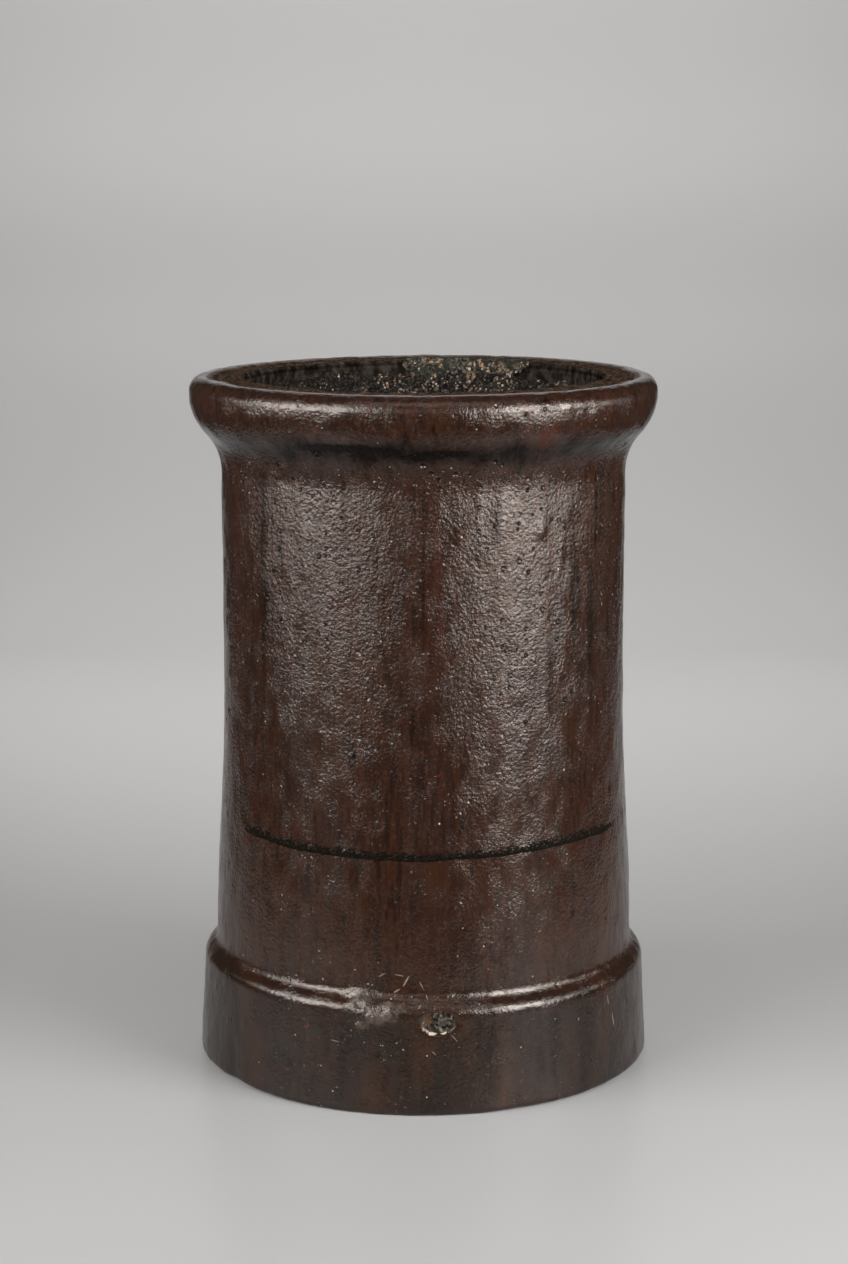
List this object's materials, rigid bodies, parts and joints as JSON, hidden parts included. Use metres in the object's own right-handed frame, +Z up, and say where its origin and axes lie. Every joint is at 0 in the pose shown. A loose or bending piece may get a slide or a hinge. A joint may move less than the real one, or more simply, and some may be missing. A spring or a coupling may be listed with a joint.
{
  "type": "chimney pot",
  "caption": "Roll-top chimney pot of brown salt-glazed stoneware: an open tube with a thick rolled rim, a hollow neck and a wider base band.",
  "frame": {"origin": "centre of the flue in the plane of the foot, which stands on z = 0", "axes": "+Z up along the flue to the rolled rim; the chipped side of the base band, the front in the picture, faces -Y"},
  "size_m": [0.3072, 0.3072, 0.457],
  "materials": {
    "glazed_stoneware": "dark red-brown salt glaze with an orange-peel surface, darker runs and specks, soft sheen; rim top and flue bare and sooty"
  },
  "bodies": {
    "root": {"chimney_pot": "glazed_stoneware"}
  },
  "joints": []
}
